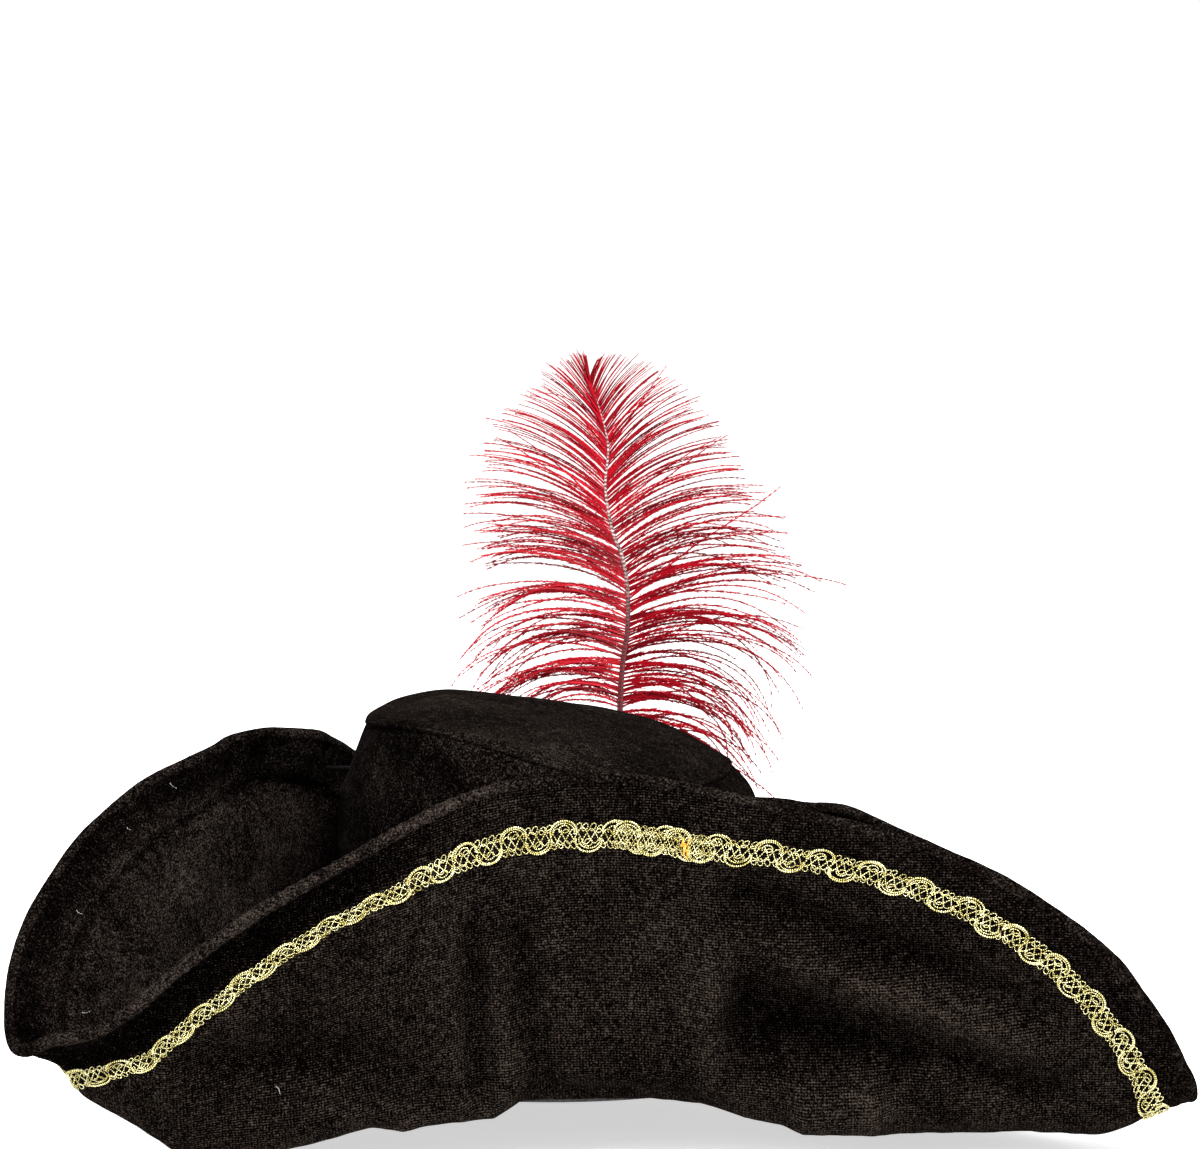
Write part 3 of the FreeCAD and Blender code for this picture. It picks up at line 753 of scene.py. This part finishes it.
def soften_crown(points):
    """Dents, swells and sags of a crown that nothing holds out from inside."""
    x, y, z = points[..., 0], points[..., 1], points[..., 2]
    rise = np.clip(z / 60.0, 0, 1)
    angle = np.arctan2(y, x)
    swell = 1.3 * ripple(x, y + z, 41, 70.0) + 0.3 * ripple(x + z, y - x, 43, 24.0)
    outward = np.stack([np.cos(angle), np.sin(angle), 0.35 + 0 * x], -1)
    moved = points + outward * (swell * rise)[..., None]
    front = np.clip(-y / 80.0, 0, 1) ** 1.2
    sag = FRONT_SAG * front * np.clip((x + 25) / 70, 0, 1) * np.clip((z - 70) / 40, 0, 1)
    middle = np.exp(-(((x - 16) / 30) ** 2 + ((y + 10) / 40) ** 2))
    dip = TIP_DIP * middle * np.clip((z - 110) / 15, 0, 1)
    shoulder = SHOULDER_SAG * np.clip((-x - 38) / 35, 0, 1) ** 2 * np.clip((z - 80) / 40, 0, 1)
    moved[..., 2] -= sag + dip + shoulder + TOP_SAG * np.clip((z - 100) / 20, 0, 1)
    return moved


def crown_shell(name, levels, insets, closed_top, material, node):
    """A closed shell over part of the crown, between two insets from its outside."""
    steps_round, steps = 320, levels[2]
    grids = [soften_crown(crown_surface(levels, steps_round, inset)) for inset in insets]
    points = [grid.reshape(-1, 3) for grid in grids]
    half = steps_round * steps
    outer = grid_quads(steps_round, steps, wrap_rows=True)
    faces = [outer, outer[:, ::-1] + half]
    ring = np.arange(steps_round) * steps
    following = np.roll(ring, -1)
    faces.append(np.stack([ring, ring + half, following + half, following], axis=1))
    lists = [block.tolist() for block in faces]
    if closed_top:
        caps = [points[0][ring + steps - 1].mean(0), points[1][ring + steps - 1].mean(0)]
        points += [np.array(caps)]
        for number, rim in enumerate((ring, ring + half)):
            tip = 2 * half + number
            fan = [[a, b, tip] for a, b in zip(rim + steps - 1, np.roll(rim, -1) + steps - 1)]
            lists.append([face[::-1] for face in fan] if number else fan)
    else:
        last, last_next = ring + steps - 1, following + steps - 1
        lists.append(np.stack([last, last_next, last_next + half, last + half], axis=1).tolist())
    joined = [face for block in lists for face in block]
    piece = make_piece(name, np.concatenate(points), joined, material, HAT)
    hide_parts(node)
    return piece


def build_crown():
    """Side band and tip, the welt between them, and the foam and lining inside."""
    last = len(CROWN_LEVELS) - 1
    # the first and last level of each cover, and its steps between them
    lower, upper, whole = (0, SEAM_LEVEL, 90), (SEAM_LEVEL, last, 60), (0, last, 110)
    side = crown_shell(
        "crown_side_velvet", lower, CROWN_COVER, False, PILE, "crown_side"
    )
    # painted shade: the side band's pile a little darker all round than the tip's
    store(side, "painted_light_and_shade", np.full(len(side.data.vertices), -CROWN_DARK))
    tip = crown_shell("crown_tip_velvet", upper, CROWN_COVER, True, PILE, "crown_tip")
    crown_shell("crown_foam", whole, CROWN_FOAM, True, FOAM, "crown_stiffener")
    lining = crown_shell(
        "crown_lining_cloth", whole, CROWN_LINING, True, LINING, "crown_lining"
    )
    seam = soften_crown(crown_surface((SEAM_LEVEL, SEAM_LEVEL + 0.01, 2), 400)[:, 0])
    up = np.broadcast_to([0.0, 0.0, 1.0], seam.shape)
    proud, welt_radius = 0.25, 0.8
    lifted = seam + unit(seam * [1, 1, 0]) * proud + [0, 0, proud]
    points, quads = hoops(lifted[None], welt_radius, up[None], 8)
    welt = make_piece("crown_seam_welt", points, quads, PILE, HAT)
    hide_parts("crown_seam")


# ------------------------ gold braid

BRAID_PITCH = 18.0
BRAID_DEPTH = -0.5
CORD_BEAD = 0.22
WINDING_PITCH = 0.75
WIRE_SHAKE = 0.22

# the braid's width as a share of its full width, and how much the step on the left narrows it
BRAID_WIDTH_SHARE, SHELF_NARROWS = 0.93, 0.56

# directions of the left, right and back corner between its runs, of its lapped end and its thread
CORNERS = (208, 335, 97)
LAP_START, LAP_END, TACK_PLACE = 275.2, 284.2, 283.4
LAP_LIFT, LAP_SHIFT = 0.95, 4.3


class BraidLine:
    """The braid's route round the brim, measured along its own length."""

    def __init__(self):
        self.angle = np.linspace(0, 2 * np.pi, 2881)
        points, _ = brim_point(self.angle, rim_radius(self.angle) - BRAID_INSET)
        steps = np.linalg.norm(np.diff(points, axis=0), axis=1)
        self.travel = np.concatenate([[0], np.cumsum(steps)])
        self.pitch = self.travel[-1] / round(self.travel[-1] / BRAID_PITCH)

    def angle_at(self, travel):
        """The direction, as an angle, at a length along the braid."""
        return np.interp(travel % self.travel[-1], self.travel, self.angle)

    def travel_at(self, degrees):
        """The length along the braid at a direction."""
        return np.interp(np.radians(degrees), self.angle, self.travel)

    def place(self, travel, across, lift):
        """Points and outward directions for places on the braid: along, across, above the cloth."""
        angle = self.angle_at(travel)
        narrowing = SHELF_NARROWS * by_direction(SHELF_RANGE, angle)
        squeeze = BRAID_WIDTH_SHARE - narrowing - by_direction(BRAID_NARROWED, angle)
        drift = by_direction(BRAID_DRIFTS, angle)
        radius = rim_radius(angle) - BRAID_INSET + drift + across * squeeze
        points, inward = brim_point(angle, radius, BRAID_DEPTH - lift)
        return points, -inward


def unit_wires():
    """The wires of one repeat: places along, across and above, a radius, and a shift in repeats.

    The repeat starts in the middle of an upper scallop; a lower scallop follows half a pitch on.
    """
    wires = []
    sweep = np.radians(np.linspace(-16, 196, 56))
    curl = np.linspace(0, 1, 26)
    loop = np.linspace(0, 2 * np.pi, 15)
    for side, centre in ((1, 0.0), (-1, 0.5)):
        # two beaded cords bent into a scallop, one inside the other
        for scale, radius, lift in ((1.0, 0.40, 0.10), (0.82, 0.27, 0.0)):
            along = 4.7 * scale * np.cos(sweep)
            across = side * (1.9 + 4.2 * scale * np.sin(sweep))
            beads = radius * (1 + 0.2 * np.cos(4.9 * scale * sweep / CORD_BEAD))
            wires.append((along, across, lift + 0 * along, beads, centre))
        # a curl that winds up inside the scallop
        turn = np.radians(210 - 400 * curl)
        reach = 1.9 - 0.9 * curl
        across = side * (2.6 + reach * np.sin(turn))
        wires.append((1.1 * reach * np.cos(turn), across, 0.12 + 0 * curl, 0.21 + 0 * curl, centre))
        # four small loops along the edge across from the scallop
        middle = 3.3
        for place in (-3.9, -1.3, 1.3, 3.9):
            out = middle + 1.5 * np.cos(loop)
            along = place + 0.95 * np.sin(loop) + 0.3 * (out - middle)
            wires.append((along, -side * out, 0.15 * np.sin(loop), 0.19 + 0 * out, centre))
    # three wires that wave across each other along the middle
    run = np.linspace(-0.5, 0.5, 44)
    for phase in (0.0, 2 * np.pi / 3, 4 * np.pi / 3):
        across = 3.0 * np.sin(4 * np.pi * run + phase)
        lift = 0.22 * np.cos(8 * np.pi * run + phase)
        wires.append((BRAID_PITCH * run, across, lift, 0.22 + 0 * run, 0.25))
    return wires


def braid_piece(name, node, line, first, last, lift=0.0, shift=0.0):
    """The repeats of the braid between two places along it, as one piece."""
    starts = np.arange(math.ceil(first / line.pitch), math.ceil(last / line.pitch)) * line.pitch
    wobble = np.random.default_rng(int(first) + 3)
    parts, wound = [], []
    for along, across, up, radius, centre in unit_wires():
        jitter = wobble.normal(0, WIRE_SHAKE, (len(starts), 3))
        travel = starts[:, None] + centre * line.pitch + along[None] + jitter[:, :1] + shift
        points, outward = line.place(travel, across[None] + jitter[:, 1:2], lift + up[None])
        tube, faces, place = tubes(points, radius[None], outward, 5)
        parts.append((tube, faces))
        length = np.hypot(np.diff(along), np.diff(across)).sum()
        wound.append(place * length / WINDING_PITCH)
    points, faces = gather(parts)
    piece = make_piece(name, points, faces, GOLD, HAT)
    store(piece, "wound", np.concatenate(wound))
    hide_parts(node)


def build_braid():
    """The scalloped braid on all three flaps, its lapped end, and the thread that ties it."""
    line = BraidLine()
    left, right, back = (line.travel_at(degrees) for degrees in CORNERS)
    braid_piece("gold_braid_front", "gold_braid", line, left, right)
    braid_piece("gold_braid_right", "gold_braid", line, right, back + line.travel[-1])
    braid_piece("gold_braid_left", "gold_braid", line, back, left)
    start, end = line.travel_at(LAP_START), line.travel_at(LAP_END)
    braid_piece("gold_braid_lapped_end", "braid_lap", line, start, end, LAP_LIFT, LAP_SHIFT)
    build_tack(line, line.travel_at(TACK_PLACE))
    build_sewing(line)


def build_tack(line, travel):
    """A few turns of orange-gold thread that hold the braid's end down."""
    part = np.linspace(0, 1, 24)
    turn_count, turn_length, thread_radius = 9, 3.4, 0.24
    lines, ups = [], []
    for place in rng.uniform(-3.2, 2.2, turn_count):
        lean = rng.uniform(-0.9, 0.9)
        along = travel + rng.uniform(-1.4, 1.4) + lean * (part - 0.5)
        across = place + turn_length * (part - 0.5)
        lift = 1.35 + 0.7 * np.sin(np.pi * part)
        points, outward = line.place(along, across, lift)
        lines.append(points)
        ups.append(outward)
    points, faces, _ = tubes(np.array(lines), thread_radius, np.array(ups), 6)
    piece = make_piece("braid_end_tack_thread", points, faces, ORANGE, HAT)
    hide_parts("braid_end_tack")


def build_sewing(line):
    """The braid's stitches, as they show inside the flaps."""
    pitch, share = 4.2, 0.62
    count = int(line.travel[-1] / pitch)
    starts = np.arange(count) * line.travel[-1] / count
    part = np.linspace(0, 1, 6)
    travel = starts[:, None] + pitch * share * part[None]
    angle = line.angle_at(travel)
    sunk, arch, thread_radius = 0.6, 0.25, 0.15
    depth = 2 * VELVET_THICK + FOAM_THICK - sunk + arch * np.sin(np.pi * part)[None]
    points, inward = brim_point(angle, rim_radius(angle) - BRAID_INSET, depth)
    stitches, faces, _ = tubes(points, thread_radius, inward, 5)
    piece = make_piece("braid_sewing_inside", stitches, faces, BLACK, HAT)
    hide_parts("braid_stitching")


# ------------------------ plume


def build_quill():
    """The shaft, tapering to the tip."""
    run = smooth_rows(SHAFT, np.linspace(0, len(SHAFT) - 1, 160))
    line = np.stack([run[:, 0], PLUME_BACK + 0 * run[:, 0], run[:, 1]], axis=1)
    radius = np.interp(run[:, 1], [46, 120, 200, 252], [1.5, 1.15, 0.6, 0.22])
    points, faces, _ = tubes(line[None], radius[None], np.array([[[0.0, -1.0, 0.0]]]), 10)
    piece = make_piece("plume_shaft", points, faces, SHAFT_LOOK, PLUME)
    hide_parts("plume_quill")


# Barbs from the lowest to the tip: height on the shaft, length, rise at the root and droop at the
# end, both in degrees above the level.
BARB_SHAPES = {
    -1: [(119, 50, 10, -64), (135, 62, 22, -50), (150, 60, 26, -36), (165, 58, 30, -22),
         (185, 55, 38, -6), (205, 49, 46, 10), (222, 35, 54, 26), (238, 20, 66, 60), (245, 10, 84, 84)],
    1: [(106, 58, 4, -62), (130, 62, 18, -60), (145, 66, 24, -48), (160, 68, 30, -30),
        (175, 59, 35, -14), (195, 54, 42, 2), (215, 40, 52, 20), (236, 22, 62, 42), (245, 10, 76, 60)],
}
BARBS_EACH_SIDE = 216
BARB_STEPS = 22
BARBULES_EACH_EDGE = 54
BARBULE_HALF_WIDTH, BARBULE_DEPTH = 0.17, 0.2
# barbs hang looser from the first of these heights downwards, wholly so at the second
LOOSE_FROM, LOOSE_AT = 205.0, 155.0
# neighbours stick together in clumps, and a few barbs stray on their own (degrees)
CLUMP_SHARE, CLUMP_LIFT = 0.12, 6.0
LONER_SHARE, LONER_BEND = 0.11, 22.0
# below this height the barbs lean back, to stay clear of the crown when the plume sways
CROWN_NEAR, CROWN_CLEARANCE = 155.0, 10.0


def barb_lines(side):
    """The line of every barb on one side of the shaft, and a shade, length and looseness for each."""
    table = np.array(BARB_SHAPES[side], float)
    count = BARBS_EACH_SIDE
    even = 1 - (1 - np.linspace(0, 1, count)) ** 1.25
    height = table[0, 0] + (table[-1, 0] - table[0, 0]) * even + rng.normal(0, 0.3, count)
    length, rise, droop = (np.interp(height, table[:, 0], table[:, k]) for k in (1, 2, 3))
    low = np.clip((LOOSE_FROM - height) / (LOOSE_FROM - LOOSE_AT), 0.0, 1.0)
    length = length * rng.normal(1.0, 0.05 + 0.07 * low)
    clump = np.cumsum(rng.uniform(0, 1, count) < CLUMP_SHARE)
    clump_lift = rng.normal(0, CLUMP_LIFT, clump.max() + 1)[clump] * (0.3 + 0.7 * low)
    clump_height = np.array([height[clump == c].mean() for c in clump])
    shaft = smooth_rows(SHAFT, np.linspace(0, len(SHAFT) - 1, 400))
    foot_x = np.interp(height, shaft[:, 1], shaft[:, 0])
    part = np.linspace(0, 1, BARB_STEPS)[None]
    heading = rise[:, None] + (droop - rise)[:, None] * part**1.2 + clump_lift[:, None] * part
    stray = rng.normal(0, 1.5 + 3.0 * low)[:, None]
    loner = (rng.uniform(0, 1, count) < LONER_SHARE) * rng.normal(0, LONER_BEND, count)
    stray = stray + loner[:, None] * part
    curl = (1.5 + 7 * low)[:, None] * np.sin(6 * part + rng.uniform(0, 6.3, count)[:, None]) * part
    heading = np.radians(heading + stray + curl)
    step = (length / (BARB_STEPS - 1))[:, None]
    out = np.cumsum(np.cos(heading) * step, axis=1) - np.cos(heading[:, :1]) * step
    up = np.cumsum(np.sin(heading) * step, axis=1) - np.sin(heading[:, :1]) * step
    up += ((clump_height - height) * (0.3 + 0.6 * low))[:, None] * part**0.8
    z = height[:, None] + up
    back = CROWN_CLEARANCE * np.clip((CROWN_NEAR - z) / 40.0, 0, 1) * part**0.7
    depth = rng.normal(0, 4.0, count)[:, None] * part**1.3 - 2.0 * part**2 + back
    points = np.stack([foot_x[:, None] + side * out, PLUME_BACK + depth, z], axis=-1)
    shade = rng.uniform(0.25, 1.0, count)
    return points, shade, length, low


def build_vane(side, name, node):
    """One side of the plume: barbs, each with two rows of fine barbules."""
    lines, shade, length, low = barb_lines(side)
    taper = np.linspace(0.42, 0.10, BARB_STEPS)[None] * (0.9 + 0.3 * low)[:, None]
    forward = np.array([[[0.0, -1.0, 0.0]]])
    points, faces, place = tubes(lines, taper, forward, 3)
    barb_shade = np.repeat(shade, BARB_STEPS * 3) * (0.8 + 0.2 * place)
    spikes, spike_faces, spike_shade = barbules(lines, shade, length, low)
    joined, joined_faces = gather([(points, faces), (spikes, spike_faces)])
    piece = make_piece(name, joined, joined_faces, BARBS, PLUME, smooth=False)
    store(piece, "shade", np.concatenate([barb_shade, spike_shade]))
    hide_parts(node)


def barbules(lines, shade, length, low):
    """Slim closed spikes along both edges of every barb, longer and looser lower down."""
    count = len(lines)
    spot = np.linspace(0.05, 0.985, BARBULES_EACH_EDGE)[None] * np.ones((count, 1))
    spot = np.clip(spot + rng.normal(0, 0.007, spot.shape), 0.03, 0.99)
    index = spot * (BARB_STEPS - 1)
    base = np.clip(index.astype(int), 0, BARB_STEPS - 2)
    part = (index - base)[..., None]
    row = np.arange(count)[:, None]
    foot = lines[row, base] * (1 - part) + lines[row, base + 1] * part
    along = unit(lines[row, base + 1] - lines[row, base])
    beside = np.cross(along, [0.0, 1.0, 0.0])
    loose = low[:, None] * np.ones_like(spot)
    sets = []
    for edge in (-1, 1):
        lean = np.radians(rng.normal(9 + 7 * loose, 4 + 5 * loose))[..., None]
        sway = rng.normal(0, 0.2, spot.shape)[..., None] * np.array([0.0, 1.0, 0.0])
        heading = unit(along * np.cos(lean) + edge * beside * np.sin(lean) + sway)
        size = rng.uniform(1.6, 2.9, spot.shape) * (1 + 0.6 * loose) * (1.15 - 0.75 * spot)
        tip = foot + heading * (size * np.clip(length / 50, 0.45, 1.1)[:, None])[..., None]
        across = unit(np.cross(heading, [0.0, 1.0, 0.0])) * BARBULE_HALF_WIDTH
        back = np.array([0.0, BARBULE_DEPTH, 0.0])
        corners = [foot + across, foot - across, foot + back, tip]
        sets.append(np.stack(corners, axis=2).reshape(-1, 3))
    points = np.concatenate(sets)
    start = np.arange(len(points) // 4)[:, None] * 4
    pattern = np.array([[0, 1, 2], [0, 3, 1], [1, 3, 2], [2, 3, 0]])
    faces = (start[:, :, None] + pattern[None]).reshape(-1, 3).tolist()
    fleck = rng.uniform(0.75, 1.1, len(points) // 4)
    tone = np.concatenate([np.repeat(shade, BARBULES_EACH_EDGE)] * 2) * fleck
    return points, faces, np.repeat(tone, 4)


# ------------------------ small pieces

# pale fibres: direction, distance inside the edge, and whether on the inner face
LINT_SPOTS = [(206, 26, True), (196, 14, True), (188, 9, True), (183, 5, True), (236, 62, False)]


def build_lint():
    """A few pale fibres caught on the velvet."""
    lines, ups = [], []
    part = np.linspace(0, 1, 12)
    for degrees, inset, inside in LINT_SPOTS:
        angle = np.radians(degrees) + rng.uniform(-0.006, 0.006) * part + 0.002 * np.sin(4 * part)
        radius = rim_radius(angle) - inset - rng.uniform(1.5, 3.5) * part
        arch = 0.5 * np.sin(np.pi * part)
        points, inward = brim_point(angle, radius, 4.6 + arch if inside else -0.5 - arch)
        lines.append(points)
        ups.append(inward)
    fibre_radius = 0.05
    points, faces, _ = tubes(np.array(lines), fibre_radius, np.array(ups), 4)
    make_piece("lint_fibres", points, faces, LINT, HAT)


def dress_cad_nodes():
    """Better materials for the frame's own pieces that stay."""
    looks = {
        "sweatband": RIBBON, "headline_tape": RIBBON, "care_label": LABEL, "quill_loop": FELT,
        "quill_binding": BLACK, "flap_tack_left": BLACK, "flap_tack_right": BLACK,
    }
    for node, material in looks.items():
        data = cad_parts[node].data
        data.materials.clear()
        data.materials.append(material)


build_brim()
build_edge()
build_crown()
build_braid()
build_quill()
build_vane(-1, "plume_barbs_left", "plume_vane_left")
build_vane(1, "plume_barbs_right", "plume_vane_right")
build_lint()
dress_cad_nodes()


# ------------------------ floor, light and camera


def build_floor():
    """A plain pale floor that the hat stands on."""
    size = 6.0
    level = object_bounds()[0].z
    mesh = bpy.data.meshes.new("floor")
    corners = [(-size, -size, level), (size, -size, level), (size, size, level), (-size, size, level)]
    mesh.from_pydata(corners, [], [(0, 1, 2, 3)])
    n = Nodes("pale_floor")
    grain = n.noise(n.place(), 30.0, 2.0)
    tones = n.ramp(grain, [(0.3, (0.90, 0.90, 0.90)), (0.7, (0.93, 0.93, 0.93))])
    n.set(Base_Color=tones, Roughness=0.7)
    n.set(Emission_Color=(1.0, 1.0, 1.0, 1.0), Emission_Strength=0.6)
    mesh.materials.append(n.material)
    add_object("floor", mesh)


def aim(item, place, target):
    """Puts a light or the camera at a place, looking at a target."""
    item.location = place
    item.rotation_euler = (target - place).to_track_quat("-Z", "Y").to_euler()


def add_light(name, place, target, size, power):
    """A square soft light aimed at a target."""
    data = bpy.data.lights.new(name, "AREA")
    data.shape = "SQUARE"
    data.size = size
    data.energy = power
    aim(add_object(name, data), Vector(place), Vector(target))


def build_studio():
    """Even white surroundings, dimmer as light than as backdrop, and three soft lights."""
    world = bpy.data.worlds.new("studio")
    world.use_nodes = True
    nodes, links = world.node_tree.nodes, world.node_tree.links
    surroundings, backdrop = nodes["Background"], nodes.new("ShaderNodeBackground")
    for node, strength in ((surroundings, 0.6), (backdrop, 1.12)):
        node.inputs["Color"].default_value = (1.0, 1.0, 1.0, 1.0)
        node.inputs["Strength"].default_value = strength
    choice = nodes.new("ShaderNodeMixShader")
    links.new(nodes.new("ShaderNodeLightPath").outputs["Is Camera Ray"], choice.inputs["Fac"])
    links.new(surroundings.outputs["Background"], choice.inputs[1])
    links.new(backdrop.outputs["Background"], choice.inputs[2])
    links.new(choice.outputs["Shader"], nodes["World Output"].inputs["Surface"])
    bpy.context.scene.world = world
    centre = (0.02, 0.0, 0.08)
    add_light("key", (0.5, -1.3, 1.9), centre, 0.6, 105.0)
    add_light("fill", (-1.5, -1.2, 1.0), centre, 1.0, 16.0)
    add_light("back", (-0.3, 1.5, 1.5), centre, 1.0, 20.0)
    bpy.context.scene.view_settings.view_transform = "Standard"


def build_camera():
    """The camera in front of the broad flap, a little above the hat."""
    distance, elevation = 2.3, math.radians(5.0)
    target = Vector((0.0174, 0.0, 0.179))
    image_width, pixels_per_mm = 1200, 2.7
    seen_width = image_width / pixels_per_mm * MM
    data = bpy.data.cameras.new("camera")
    data.sensor_width = 36.0
    data.lens = data.sensor_width * distance / seen_width
    data.clip_end = 50.0
    camera = add_object("camera", data)
    away = Vector((0, -math.cos(elevation), math.sin(elevation)))
    aim(camera, target + away * distance, target)
    bpy.context.scene.camera = camera


build_floor()
build_studio()
build_camera()
